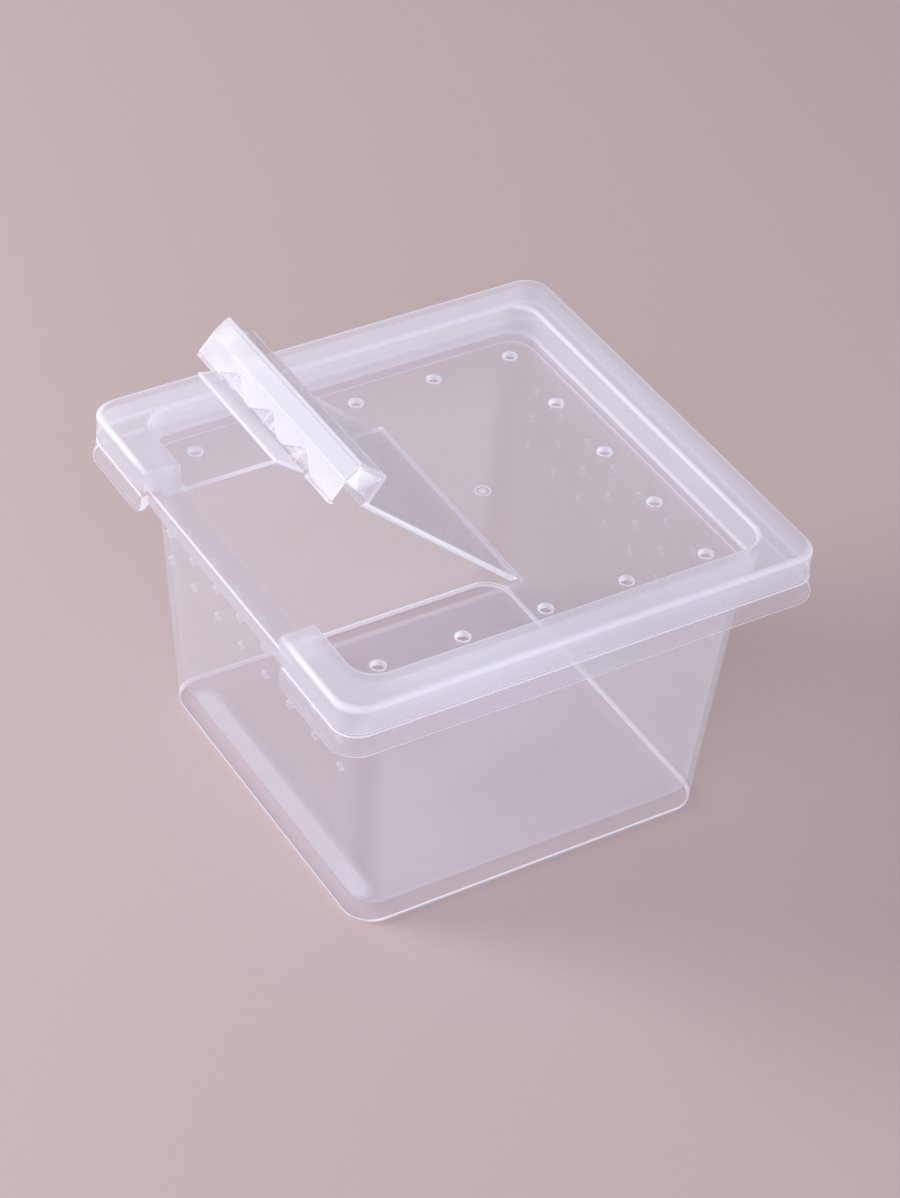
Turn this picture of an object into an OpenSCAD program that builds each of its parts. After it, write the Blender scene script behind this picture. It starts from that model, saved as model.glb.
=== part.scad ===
// Square keeper for insects, spiders and small reptiles: a tapered tub, a push-on lid with a
// raised hollow rim, and a flip-up hatch on a moulded hinge in the front half of the lid.
// The origin is at the middle of the foot, on the surface the keeper stands on. The hatch opens
// towards +Z from the -Y side.

/* [Tub] */
// Outer width of the tub at its foot
base_w = 85.4; // [60:0.2:90]
// Corner radius of the tub at its foot
base_corner_r = 6.5; // [4:0.5:14]
// Height of the ledge that the lid rests on
ledge_h = 66; // [45:1:120]
// Thickness of the tub's walls
tub_wall = 1.2; // [0.8:0.1:2]
// Thickness of the tub's floor
floor_t = 1.2; // [0.8:0.1:2]
// Radius where the walls meet the floor inside
floor_fillet_r = 4.5; // [2:0.5:8]
// Width of the foot that runs round the underside
foot_w = 4; // [2:0.5:8]
// Corner radius of the sunk underside within the foot
foot_corner_r = 3.5; // [2:0.5:14]
// How far the underside is sunk within the foot
foot_rise = 0.8; // [0.4:0.1:1.5]
// Radius of the outer bottom edge
foot_edge_r = 0.5; // [0.3:0.1:1.6]

/* [Ledge and bead] */
// How far the tub's walls stand inside the lid's outer wall
mouth_inset = 8.7; // [8:0.1:12]
// Corner radius of the walls just under the ledge
mouth_corner_r = 7; // [4:0.5:14]
// Thickness of the ledge
ledge_t = 1.2; // [0.8:0.1:2]
// Width of the bead that stands on the ledge
bead_w = 2.2; // [1.5:0.1:2.6]
// Height of the bead over the ledge
bead_h = 2.5; // [2.3:0.1:3.2]
// Radius of the bead's outer top edge
bead_edge_r = 0.6; // [0.3:0.1:0.7]
// Height over the ledge of the shoulder that the lid's outer wall stands on
shoulder_h = 1.3; // [0.6:0.1:1.5]
// Height of the skirt below the shoulder
skirt_h = 4.8; // [3.5:0.1:12]
// Thickness of the skirt
skirt_t = 1.1; // [0.8:0.1:1.6]
// How far the skirt flares out at its lower edge
skirt_flare = 0.8; // [0:0.1:2]
// Radius of the skirt's lower corners beside the finger recess
recess_foot_r = 2.5; // [0.5:0.1:2.5]

/* [Side vents] */
// Diameter of a vent in the tub's walls
side_vent_d = 2; // [1:0.1:5]
// Vents in each row
side_vent_count = 8; // [2:1:9]
// Rows of vents
side_vent_rows = 3; // [1:1:4]
// Distance between vents in a row
side_vent_pitch = 10.5; // [6:0.5:10.5]
// Distance between rows
side_row_pitch = 7.5; // [5.5:0.5:9]
// Distance from the ledge down to the top row
side_vent_drop = 9; // [6:0.5:12]

/* [Lid] */
// Outer width of the lid
lid_w = 111.2; // [108:0.2:150]
// Outer corner radius of the lid
lid_corner_r = 5.5; // [5:0.5:14]
// Thickness of the lid's walls
lid_wall = 1.2; // [0.8:0.1:1.5]
// Thickness of the sunk panel
panel_t = 1.2; // [0.8:0.1:1.6]
// Height of the rim over the panel
rim_h = 6.7; // [5:0.1:12]
// Width of the rim across its top
rim_w = 8.3; // [6:0.1:9]
// How far the rim's inner wall leans out on its way up
rim_lean = 0.6; // [0:0.1:0.9]
// Corner radius of the sunk panel at the top of the rim
sink_corner_r = 6; // [4:0.5:12]
// Radius of the rim's outer top edge
rim_outer_r = 1.3; // [0.5:0.1:2]
// Radius of the rim's inner top edge
rim_inner_r = 1; // [0.4:0.1:2]
// Radius where the rim's inner wall meets the panel
panel_fillet_r = 1.5; // [0.5:0.1:2]
// Width of the slope at the rim's lower corners beside the hatch
foot_slope_w = 4; // [1:0.5:8]
// Height of that slope
foot_slope_h = 1.6; // [0.5:0.1:3]

/* [Lid vents] */
// Diameter of a vent in the lid
lid_vent_d = 3; // [1.5:0.1:6]
// Width of the ring round a vent
vent_ring_w = 0.7; // [0.3:0.1:1.5]
// Height of the ring round a vent
vent_ring_h = 0.35; // [0.2:0.05:1]
// Distance between vents in the lid
lid_vent_pitch = 19.35; // [17.8:0.05:20.5]
// Diameter of the gate mark behind the hinge
gate_ring_d = 3.6; // [2:0.1:5]
// Distance from the hinge line to the gate mark
gate_back = 8.5; // [4:0.5:14]

/* [Hatch] */
// Width of the hatch at the hinge
hatch_w = 56; // [40:1:60]
// How much narrower the hatch is on each side at its rim
hatch_taper = 1; // [0:0.1:2]
// Gap between the hatch and the lid on each side of the hinge
hatch_side_gap = 1; // [0.4:0.1:2]
// Angle at which the hatch stands open
open_angle = 41; // [0:1:150]
// Thickness of the hatch's skirt
clip_t = 0.8; // [0.6:0.1:1.1]
// Distance from the bead out to the hatch's skirt
clip_gap = 1.6; // [1:0.1:2.2]
// Distance from the panel's top down to the skirt's lower edge at both ends
clip_h = 3.4; // [3.3:0.1:5]
// Distance from the panel's top down to the lower edge between the ends
clip_mid_h = 2.6; // [2:0.1:3]
// Width of the longer stretch of skirt at each end
clip_end_w = 9.2; // [5:0.1:12]
// Height of the catch that springs under the bead
catch_h = 0.5; // [0.3:0.1:0.6]

/* [Pleats and lip] */
// Number of pleats in the hatch's skirt
pleat_count = 3; // [1:1:3]
// Distance between pleats
pleat_pitch = 13.5; // [12.5:0.5:15]
// Width of a pleat at its foot
pleat_w = 11.8; // [6:0.2:12]
// Height of a pleat
pleat_h = 3.4; // [2:0.1:4.5]
// Depth of a pleat
pleat_depth = 0.7; // [0.2:0.1:0.8]
// Width of the finger lip
lip_w = 36; // [20:1:44]
// How far the finger lip lies off the middle
lip_shift = -1.5; // [-3:0.5:3]
// How far the finger lip reaches out
lip_reach = 4; // [2:0.5:8]
// Thickness of the finger lip
lip_t = 0.8; // [0.6:0.1:1.2]
// Angle that the finger lip droops
lip_droop = 27; // [0:1:40]
// Length cut off the lip's right corner
lip_chamfer = 4; // [1:0.5:8]

/* [Moulded hinge] */
// Thickness of the web that bends
web_t = 0.4; // [0.3:0.05:0.6]
// Width of the web on the lid's side
web_w = 0.8; // [0.5:0.1:1.5]

/* [Fit] */
// Gap between the lid and the ledge it rests on
seat_gap = 0.3; // [0.2:0.05:0.6]
// Gap between the lid and the bead
bead_gap = 0.3; // [0.2:0.05:0.5]

/* [Hidden] */
corner_steps = 8;
edge_steps = 4;
fillet_steps = 6;
hole_fn = 32;
cut_over = 1;
quarter = 90;

lid_half = lid_w / 2;
base_half = base_w / 2;
mouth_half = lid_half - mouth_inset;
ledge_bottom = ledge_h - ledge_t;
floor_top = foot_rise + floor_t;
bead_top = ledge_h + bead_h;
bead_outer = lid_half - lid_wall - bead_gap;
bead_inner = bead_outer - bead_w;
shoulder = ledge_h + shoulder_h;
skirt_bottom = shoulder - skirt_h;

panel_bottom = ledge_h + seat_gap;
panel_top = panel_bottom + panel_t;
rim_top = panel_top + rim_h;
channel_top = rim_top - lid_wall;
sink_top = lid_half - rim_w;
sink_bottom = sink_top - rim_lean;
lid_foot = shoulder + seat_gap;
over_bead = bead_top + bead_gap;
behind_bead = bead_inner - bead_gap;

opening_half = hatch_w / 2 + hatch_side_gap;
finger_half = opening_half + hatch_side_gap;
hatch_front_half = hatch_w / 2 - hatch_taper;
clip_inner = bead_outer + clip_gap;
clip_outer = clip_inner + clip_t;
clip_bend = rim_h / 3;
clip_lean = 0.7;
bead_over_panel = bead_top - panel_top;
bead_under_panel = ledge_bottom - panel_top;
hatch_sink = sink_bottom + bead_gap;
catch_tip = bead_outer + bead_gap;
web_r = web_t / 2;

tub_colour = [0.80, 0.79, 0.85, 0.45];
lid_colour = [0.82, 0.81, 0.88, 0.55];
hatch_colour = [0.90, 0.89, 0.96, 0.65];
web_colour = [0.93, 0.92, 0.98, 0.75];

// Shells with rounded corners

// One ring of points: a square of the given half width with rounded corners, at height z
function ring(half, r, z) = [
    for (corner = [0:3])
        for (step = [0:corner_steps])
            let (angle = quarter * (corner + step / corner_steps))
            let (side_x = corner == 0 || corner == 3 ? 1 : -1)
            let (side_y = corner < 2 ? 1 : -1)
            [side_x * (half - r) + r * cos(angle), side_y * (half - r) + r * sin(angle), z]
];

// A quarter round in the profile, from one angle to the other about [half, z]. The corner
// radius grows with the half width, so the round keeps its size on the way round the corner.
function round_edge(half, corner_r, z, r, from, to, steps) = [
    for (step = [0:steps])
        let (angle = from + (to - from) * step / steps)
        [half + r * cos(angle), corner_r + r * cos(angle), z + r * sin(angle)]
];

// Closed shell over a profile of [half width, corner radius, height], flat at both ends
module shell(profile) {
    count = 4 * (corner_steps + 1);
    last = len(profile) - 1;
    points = [for (entry = profile) each ring(entry[0], entry[1], entry[2])];
    foot = [[for (k = [0:count - 1]) k]];
    top = [[for (k = [count - 1:-1:0]) last * count + k]];
    sides = [
        for (level = [0:last - 1])
            for (k = [0:count - 1])
                let (a = level * count + k)
                let (b = level * count + (k + 1) % count)
                each [[a, a + count, b + count], [a, b + count, b]]
    ];
    polyhedron(points = points, faces = concat(foot, sides, top));
}

// Solid with the given outline of [distance in front of the hinge, height over the panel] points,
// running from x = -half to x = half
module along_hinge(outline, half) {
    rotate([quarter, 0, quarter])
        translate([0, 0, -half])
            linear_extrude(2 * half)
                polygon([for (point = outline) [-point[0], point[1]]]);
}

// Tub

function wall_half(z) = base_half + (mouth_half - base_half) * z / ledge_bottom;
function wall_corner(z) = base_corner_r + (mouth_corner_r - base_corner_r) * z / ledge_bottom;
function inner_half(z) = wall_half(z) - tub_wall;
function inner_corner(z) = wall_corner(z) - tub_wall;

// Corner radius of a ring outside the walls that runs parallel to the lid's outer edge
function rim_corner(half) = lid_corner_r - lid_half + half;

module tub_shell() {
    fillet_z = floor_top + floor_fillet_r;
    skirt_inner = lid_half - skirt_t;
    shell(concat(
        [
            [base_half - foot_w - foot_rise, foot_corner_r - foot_rise, foot_rise],
            [base_half - foot_w, foot_corner_r, 0]
        ],
        round_edge(base_half - foot_edge_r, base_corner_r - foot_edge_r, foot_edge_r,
            foot_edge_r, -quarter, 0, edge_steps),
        [
            [wall_half(ledge_bottom), wall_corner(ledge_bottom), ledge_bottom],
            [skirt_inner, rim_corner(skirt_inner), ledge_bottom],
            [skirt_inner + skirt_flare, rim_corner(skirt_inner + skirt_flare), skirt_bottom],
            [lid_half + skirt_flare, rim_corner(lid_half + skirt_flare), skirt_bottom],
            [lid_half, lid_corner_r, shoulder],
            [bead_outer, rim_corner(bead_outer), shoulder]
        ],
        round_edge(bead_outer - bead_edge_r, rim_corner(bead_outer - bead_edge_r),
            bead_top - bead_edge_r, bead_edge_r, 0, quarter, edge_steps),
        [
            [bead_inner, rim_corner(bead_inner), bead_top],
            [bead_inner, rim_corner(bead_inner), ledge_h],
            [inner_half(ledge_h), inner_corner(ledge_h), ledge_h]
        ],
        round_edge(inner_half(fillet_z) - floor_fillet_r, inner_corner(fillet_z),
            fillet_z, floor_fillet_r, 0, -quarter, fillet_steps)
    ));
}

// Cuts the shoulder and the skirt away in front of the bead, with round lower corners beside the cut
module finger_recess() {
    recess_cut(bead_outer, bead_top - bead_edge_r);
    recess_cut(lid_half - skirt_t - cut_over, ledge_bottom);
}

// One cut from the given distance outwards, up to the given height
module recess_cut(from, top) {
    reach = lid_half + skirt_flare + cut_over;
    rotate([quarter, 0, 0])
        translate([0, 0, from])
            linear_extrude(reach - from)
                recess_outline(top);
}

module recess_outline(top) {
    bottom = skirt_bottom - cut_over;
    translate([-finger_half, bottom])
        square([2 * finger_half, top - bottom]);
    for (side = [-1, 1])
        translate([side * finger_half, skirt_bottom])
            recess_corner(side);
}

module recess_corner(side) {
    difference() {
        translate([side < 0 ? -recess_foot_r : -cut_over, -cut_over])
            square([recess_foot_r + cut_over, recess_foot_r + cut_over]);
        translate([side * recess_foot_r, recess_foot_r])
            circle(r = recess_foot_r, $fn = hole_fn);
    }
}

module side_vents() {
    for (row = [0:side_vent_rows - 1])
        for (place = [0:side_vent_count - 1])
            translate([
                (place - (side_vent_count - 1) / 2) * side_vent_pitch,
                0,
                ledge_h - side_vent_drop - row * side_row_pitch
            ])
                rotate([quarter, 0, 0])
                    cylinder(d = side_vent_d, h = lid_w, center = true, $fn = hole_fn);
}

module tub() {
    color(tub_colour)
        difference() {
            tub_shell();
            finger_recess();
            side_vents();
        }
}

// Lid

module lid_shell() {
    sink_r = sink_corner_r - rim_lean;
    outer_inner = lid_half - lid_wall;
    shell(concat(
        [
            [sink_bottom, sink_r, panel_bottom],
            [sink_bottom + lid_wall, sink_r + lid_wall, panel_bottom],
            [sink_top + lid_wall, sink_corner_r + lid_wall, channel_top],
            [outer_inner, rim_corner(outer_inner), channel_top],
            [outer_inner, rim_corner(outer_inner), lid_foot],
            [lid_half, lid_corner_r, lid_foot]
        ],
        round_edge(lid_half - rim_outer_r, lid_corner_r - rim_outer_r, rim_top - rim_outer_r,
            rim_outer_r, 0, quarter, edge_steps),
        round_edge(sink_top + rim_inner_r, sink_corner_r + rim_inner_r, rim_top - rim_inner_r,
            rim_inner_r, quarter, 2 * quarter, edge_steps),
        round_edge(sink_bottom - panel_fillet_r, sink_r - panel_fillet_r,
            panel_top + panel_fillet_r, panel_fillet_r, 0, -quarter, edge_steps)
    ));
}

// Wall that closes the hollow rim beside the hatch
module rim_end(side) {
    place = side * (opening_half + lid_wall / 2);
    translate([place, 0, panel_top])
        along_hinge([
            [sink_bottom, panel_bottom - panel_top],
            [behind_bead, panel_bottom - panel_top],
            [behind_bead, over_bead - panel_top],
            [lid_half, over_bead - panel_top],
            [lid_half, rim_h - rim_outer_r],
            [lid_half - rim_outer_r, rim_h],
            [sink_top + rim_inner_r, rim_h],
            [sink_top, rim_h - rim_inner_r],
            [sink_bottom, panel_fillet_r]
        ], lid_wall / 2);
}

// Cuts the lower corner of the rim's outer wall beside the hatch to a slope
module foot_slope(side) {
    rotate([quarter, 0, 0])
        translate([0, 0, bead_outer])
            linear_extrude(lid_wall + 2 * cut_over)
                polygon([
                    [side * (opening_half - cut_over), lid_foot - cut_over],
                    [side * (opening_half + foot_slope_w), lid_foot - cut_over],
                    [side * (opening_half + foot_slope_w), lid_foot],
                    [side * opening_half, lid_foot + foot_slope_h],
                    [side * (opening_half - cut_over), lid_foot + foot_slope_h]
                ]);
}

// Outline that thins the panel towards the web, from below
function thin_edge(near, far) = [
    [near, -web_t],
    [near, -panel_t - cut_over],
    [far + cut_over, -panel_t - cut_over],
    [far, -panel_t]
];

module hatch_opening() {
    translate([-opening_half, -lid_w, panel_bottom - cut_over])
        cube([2 * opening_half, lid_w + web_w, lid_w]);
    translate([0, 0, panel_top])
        mirror([0, 1, 0])
            along_hinge(thin_edge(web_w, web_w + panel_t - web_t), opening_half);
}

// Calls its children at each place of the U-shaped row of vents round the panel
module at_lid_vents() {
    for (column = [-2:2])
        for (row = [-2:2])
            if (abs(column) == 2 || row == 2)
                translate([column * lid_vent_pitch, row * lid_vent_pitch, panel_top])
                    children();
}

module gate_mark() {
    translate([0, gate_back, panel_top]) {
        difference() {
            cylinder(d = gate_ring_d, h = vent_ring_h, $fn = hole_fn);
            cylinder(d = gate_ring_d - vent_ring_w, h = 2 * vent_ring_h, $fn = hole_fn);
        }
        cylinder(d = gate_ring_d / 3, h = vent_ring_h, $fn = hole_fn);
    }
}

module lid() {
    color(lid_colour)
        difference() {
            union() {
                difference() {
                    lid_shell();
                    hatch_opening();
                    foot_slope(-1);
                    foot_slope(1);
                }
                rim_end(-1);
                rim_end(1);
                at_lid_vents()
                    cylinder(d = lid_vent_d + 2 * vent_ring_w, h = vent_ring_h, $fn = hole_fn);
                gate_mark();
            }
            at_lid_vents()
                cylinder(d = lid_vent_d, h = 4 * panel_t, center = true, $fn = hole_fn);
        }
}

// Moulded hinge: a thin web flush with the panel's top, ending in the line that it bends on
module living_hinge() {
    color(web_colour)
        translate([0, 0, panel_top]) {
            along_hinge([[0, 0], [0, -web_t], [-web_w, -web_t], [-web_w, 0]], hatch_w / 2);
            rotate([0, quarter, 0])
                cylinder(r = web_r, h = hatch_w, center = true, $fn = hole_fn);
        }
}

// Hatch, drawn closed with the hinge line along X through the origin and its front towards -Y

module hatch_plate() {
    front = hatch_sink + lid_wall / 2;
    difference() {
        translate([0, 0, -panel_t])
            linear_extrude(panel_t)
                polygon([
                    [-hatch_w / 2, -web_r],
                    [-hatch_front_half, -front],
                    [hatch_front_half, -front],
                    [hatch_w / 2, -web_r]
                ]);
        along_hinge(thin_edge(web_r, web_r + panel_t - web_t), hatch_w);
    }
}

// The hatch's stretch of rim: inner wall, top and the upper part of the skirt
module hatch_rim() {
    outer_top = clip_outer - clip_lean;
    along_hinge([
        [hatch_sink, -panel_t],
        [hatch_sink + lid_wall, -panel_t],
        [hatch_sink + rim_lean + lid_wall, rim_h - lid_wall],
        [outer_top - clip_t, rim_h - lid_wall],
        [clip_inner, clip_bend],
        [clip_inner, -clip_mid_h],
        [clip_outer, -clip_mid_h],
        [clip_outer, clip_bend],
        [outer_top, rim_h - rim_inner_r],
        [outer_top - rim_inner_r, rim_h],
        [hatch_sink + rim_lean + rim_inner_r, rim_h],
        [hatch_sink + rim_lean, rim_h - rim_inner_r],
        [hatch_sink, 0]
    ], hatch_front_half);
}

// Wall that closes the hatch's rim at one end, cut clear of the bead
module hatch_end(side) {
    clear = bead_over_panel + bead_gap;
    translate([side * (hatch_front_half - lid_wall / 2), 0, 0])
        along_hinge([
            [hatch_sink, 0],
            [behind_bead, clear],
            [clip_inner, clear + bead_gap],
            [clip_inner, clip_bend],
            [clip_outer - clip_lean, rim_h - rim_inner_r],
            [clip_outer - clip_lean, rim_h - lid_wall],
            [hatch_sink + rim_lean, rim_h - lid_wall]
        ], lid_wall / 2);
}

// Longer stretch of skirt at one end, with the catch that springs under the bead
module hatch_clip(side) {
    catch_top = bead_under_panel - bead_gap / 2;
    translate([side * (hatch_front_half - clip_end_w / 2), 0, 0])
        along_hinge([
            [clip_outer, -clip_mid_h],
            [clip_inner, -clip_mid_h],
            [clip_inner, catch_top],
            [catch_tip, catch_top - catch_h / 2],
            [clip_inner, catch_top - catch_h],
            [clip_inner, -clip_h],
            [clip_outer, -clip_h]
        ], clip_end_w / 2);
}

// Half of one pleat: a facet that falls back from the upright ridge at x = place
module pleat_half(place, side) {
    foot = place + side * pleat_w / 2;
    top = pleat_h - clip_mid_h;
    low = -clip_mid_h - cut_over;
    spread = pleat_w / 2 * (pleat_h + cut_over) / pleat_h;
    sink = pleat_depth * (pleat_h + cut_over) / pleat_h;
    points = [
        [place, -clip_outer, top],
        [place, -clip_outer, low],
        [place + side * spread, -clip_outer - cut_over / 10, low],
        [place + side * spread, -clip_outer + sink, low]
    ];
    polyhedron(
        points = points,
        faces = side > 0
            ? [[0, 2, 1], [0, 3, 2], [0, 1, 3], [1, 2, 3]]
            : [[0, 1, 2], [0, 2, 3], [0, 3, 1], [1, 3, 2]]
    );
}

module finger_lip() {
    half = lip_w / 2;
    root = clip_t / 2;
    translate([lip_shift, -clip_outer, -clip_mid_h])
        rotate([lip_droop, 0, 0])
            translate([0, 0, -lip_t])
                linear_extrude(lip_t)
                    polygon([
                        [-half, root],
                        [-half, -lip_reach],
                        [half - lip_chamfer, -lip_reach],
                        [half, -root],
                        [half, root]
                    ]);
}

module hatch_closed() {
    hatch_plate();
    difference() {
        hatch_rim();
        for (pleat = [0:pleat_count - 1])
            for (side = [-1, 1])
                pleat_half((pleat - (pleat_count - 1) / 2) * pleat_pitch, side);
    }
    for (side = [-1, 1]) {
        hatch_end(side);
        hatch_clip(side);
    }
    finger_lip();
}

module hatch() {
    color(hatch_colour)
        translate([0, 0, panel_top])
            rotate([-open_angle, 0, 0])
                hatch_closed();
}

tub();
lid();
living_hinge();
hatch();
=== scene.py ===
# Square keeper for insects, spiders and small reptiles: a clear tapered tub, a push-on lid with a
# hollow rim and a flip-up hatch. Lengths are millimetres, as on a drawing, and angles are degrees,
# unless a note says otherwise.
import math

import bpy
import numpy as np
from mathutils import Matrix, Vector


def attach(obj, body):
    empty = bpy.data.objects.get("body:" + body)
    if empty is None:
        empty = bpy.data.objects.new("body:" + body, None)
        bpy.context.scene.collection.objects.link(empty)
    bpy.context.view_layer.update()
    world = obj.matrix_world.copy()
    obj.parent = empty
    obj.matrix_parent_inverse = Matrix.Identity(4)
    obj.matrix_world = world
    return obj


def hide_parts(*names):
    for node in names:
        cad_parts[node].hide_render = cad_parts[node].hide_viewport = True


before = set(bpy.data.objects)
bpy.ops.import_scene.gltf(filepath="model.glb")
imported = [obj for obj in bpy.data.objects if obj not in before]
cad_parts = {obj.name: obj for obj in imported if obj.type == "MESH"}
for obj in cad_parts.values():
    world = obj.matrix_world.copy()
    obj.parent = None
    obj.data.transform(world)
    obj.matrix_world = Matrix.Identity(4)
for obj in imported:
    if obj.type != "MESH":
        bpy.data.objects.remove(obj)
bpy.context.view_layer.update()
scene = bpy.context.scene
scene.view_settings.view_transform = "Standard"
scene.cycles.transparent_max_bounces = 48  # light passes many thin walls here
toMetres = 0.001

# Camera

cameraSet = {
    "azimuth": 56.88,  # round from the hatch's side
    "elevation": 39.39,
    "roll": 3.96,
    "distance": 756.17,
    "aimHeight": 33.0,
    "shiftRight": 1.88,  # how far the camera stands off the line to the aim
    "shiftUp": 6.66,
    "focalPixels": 3540.47,
    "imageHeight": 1198,  # pixels
    "sensor": 36.0,
    "clip": (0.01, 20.0),  # metres
}


def makeCamera(s):
    azimuth, elevation, roll = (math.radians(s[k]) for k in ("azimuth", "elevation", "roll"))
    back = Vector((
        math.sin(azimuth) * math.cos(elevation),
        -math.cos(azimuth) * math.cos(elevation),
        math.sin(elevation),
    ))
    level = (-back).cross(Vector((0, 0, 1))).normalized()
    upward = level.cross(-back)
    right = level * math.cos(roll) + upward * math.sin(roll)
    up = upward * math.cos(roll) - level * math.sin(roll)
    place = back * s["distance"] + level * s["shiftRight"] + upward * s["shiftUp"]
    place = (place + Vector((0, 0, s["aimHeight"]))) * toMetres
    data = bpy.data.cameras.new("photoCamera")
    data.sensor_width = s["sensor"]
    data.lens = s["focalPixels"] / s["imageHeight"] * s["sensor"]
    data.clip_start, data.clip_end = s["clip"]
    camera = bpy.data.objects.new("photoCamera", data)
    turn = Matrix((right, up, back)).transposed()
    camera.matrix_world = Matrix.Translation(place) @ turn.to_4x4()
    scene.collection.objects.link(camera)
    scene.camera = camera


makeCamera(cameraSet)
print("camera ready")

# Surfaces

surfaceSet = {
    "straight": 0.02,  # radians: a smaller bend stays as it is
    "fullRound": 1.2,  # a larger round bends light less, so its edge share stays below 1
    "leastCorner": 0.02,
    "centreHalf": 0.4,  # the smallest ring of a shell, close round its middle
    "centreCorner": 0.1,
    "cornerSteps": 14,
    "normalWeight": 80,  # how far large faces decide the shading
}


# Makes a mesh object from whole arrays of points in millimetres and of faces. The plastic reads two
# numbers from it: edgeShare on the points, near 1 where a round edge bends most, and cutShare on
# the faces, above 0 where the wall is seen in section.
# Both shares also drive a painted glow, and in places they are raised to paint highlights.
def meshPiece(name, points, faces, edgeShare=None, cutShare=0.0):
    mesh = bpy.data.meshes.new(name)
    mesh.from_pydata((np.asarray(points) * toMetres).tolist(), [], [list(f) for f in faces])
    if edgeShare is not None:
        layer = mesh.attributes.new("edgeShare", "FLOAT", "POINT")
        layer.data.foreach_set("value", np.asarray(edgeShare, np.float32))
        layer = mesh.attributes.new("cutShare", "FLOAT", "FACE")
        layer.data.foreach_set("value", np.resize(np.asarray(cutShare, np.float32), len(faces)))
    mesh.update()
    piece = bpy.data.objects.new(name, mesh)
    scene.collection.objects.link(piece)
    return piece


# Rounds an open or closed line of [out, height, corner radius, round, brightness] rows: at each
# inner row the sharp bend becomes an arc of the given round, whose points are the bend plus a step
# back along the arriving side and a step on along the leaving side. Returns out, height, corner
# radius and edge share, which is the sine of the way along the arc times the brightness, or times 1
# where none is given. The brightness sets that edge's whiter haze and painted highlight.
def roundedLine(rows, steps=5, closed=False):
    rows = np.array([[*row, 1.0][:5] for row in rows], float)
    made = []
    count = len(rows)
    for i in range(count):
        here, before, after = rows[i], rows[i - 1], rows[(i + 1) % count]
        sharp = np.array([[*here[:3], 0.0]])
        if not closed and i in (0, count - 1):
            made.append(sharp)
            continue
        toBefore, toAfter = before[:2] - here[:2], after[:2] - here[:2]
        lengthBefore, lengthAfter = np.linalg.norm(toBefore), np.linalg.norm(toAfter)
        u, v = toBefore / lengthBefore, toAfter / lengthAfter
        bend = math.acos(max(-1.0, min(1.0, float(u @ v))))
        radius = here[3]
        if radius <= 0 or bend > math.pi - surfaceSet["straight"]:
            made.append(sharp)
            continue
        reach = radius / math.tan(bend / 2)
        middle = (u + v) / np.linalg.norm(u + v) * radius / math.sin(bend / 2)
        start, end = u * reach - middle, v * reach - middle
        sweep = math.pi - bend
        number = max(steps, int(steps * radius))
        t = np.linspace(0, 1, number + 1)[:, None]
        arc = middle + (np.sin((1 - t) * sweep) * start + np.sin(t * sweep) * end) / math.sin(sweep)
        along = arc @ np.linalg.inv(np.array([u, v]))
        slope = np.array([(before[2] - here[2]) / lengthBefore, (after[2] - here[2]) / lengthAfter])
        share = np.sin(t * math.pi) * min(1.0, surfaceSet["fullRound"] / radius) * here[4]
        made.append(np.hstack([here[:2] + arc, here[2] + along @ slope[:, None], share]))
    return np.vstack(made)


# A closed line of [out, height, round] rows, where a row without a round keeps its sharp bend
def closedLine(rows, steps):
    return roundedLine([[*row[:2], 0, *row[2:], 0][:4] for row in rows], steps, True)


# A ring-shaped shell: each row of the rounded line becomes a square ring with round corners, half
# width `out` and corner radius `corner`, at its height. Both ends close on a point in the middle.
# Faces above a level, such as a rim's, take a share of the look of a wall seen in section.
def squareShell(name, rows, sideSteps, level=math.inf, share=0.0):
    own = surfaceSet
    ends = [[own["centreHalf"], row[1], own["centreCorner"], 0] for row in (rows[0], rows[-1])]
    line = roundedLine([ends[0], *rows, ends[1]])
    turn = np.linspace(0, math.pi / 2, own["cornerSteps"] + 1)
    side = np.linspace(0, 1, sideSteps + 2)[1:-1]
    per = len(turn)
    angles = np.concatenate([turn + k * math.pi / 2 for k in range(4)])
    signX = np.repeat([1, -1, -1, 1], per)
    signY = np.repeat([1, 1, -1, -1], per)
    out, height, corner, edge = line.T
    corner = np.maximum(corner, own["leastCorner"])
    x = signX * (out - corner)[:, None] + corner[:, None] * np.cos(angles)
    y = signY * (out - corner)[:, None] + corner[:, None] * np.sin(angles)
    columnsX, columnsY = [], []
    for k in range(4):
        a, b = (k + 1) * per - 1, ((k + 1) * per) % (4 * per)
        for columns, place in ((columnsX, x), (columnsY, y)):
            columns.append(place[:, k * per:(k + 1) * per])
            columns.append(place[:, [a]] * (1 - side) + place[:, [b]] * side)
    x, y = np.hstack(columnsX), np.hstack(columnsY)
    rings, around = x.shape
    z = np.repeat(height[:, None], around, 1)
    points = np.stack([x, y, z], 2).reshape(-1, 3)
    base = np.arange(rings - 1)[:, None] * around
    step = np.arange(around)[None, :]
    onward = (step + 1) % around
    quads = np.stack([base + step, base + onward, base + around + onward, base + around + step], 2)
    faces = quads.reshape(-1, 4).tolist()
    cut = np.where((height[:-1] + height[1:]) / 2 > level, share, 0)
    cut = np.append(np.repeat(cut, around), np.zeros(2 * around))
    first, last = len(points), len(points) + 1
    points = np.vstack([points, [[0, 0, height[0]], [0, 0, height[-1]]]])
    edges = np.append(np.repeat(edge, around), [0, 0])
    top = (rings - 1) * around
    faces += [[first, b, a] for a, b in zip(step[0], onward[0])]
    faces += [[last, top + a, top + b] for a, b in zip(step[0], onward[0])]
    return meshPiece(name, points, faces, edges, cut)


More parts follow.
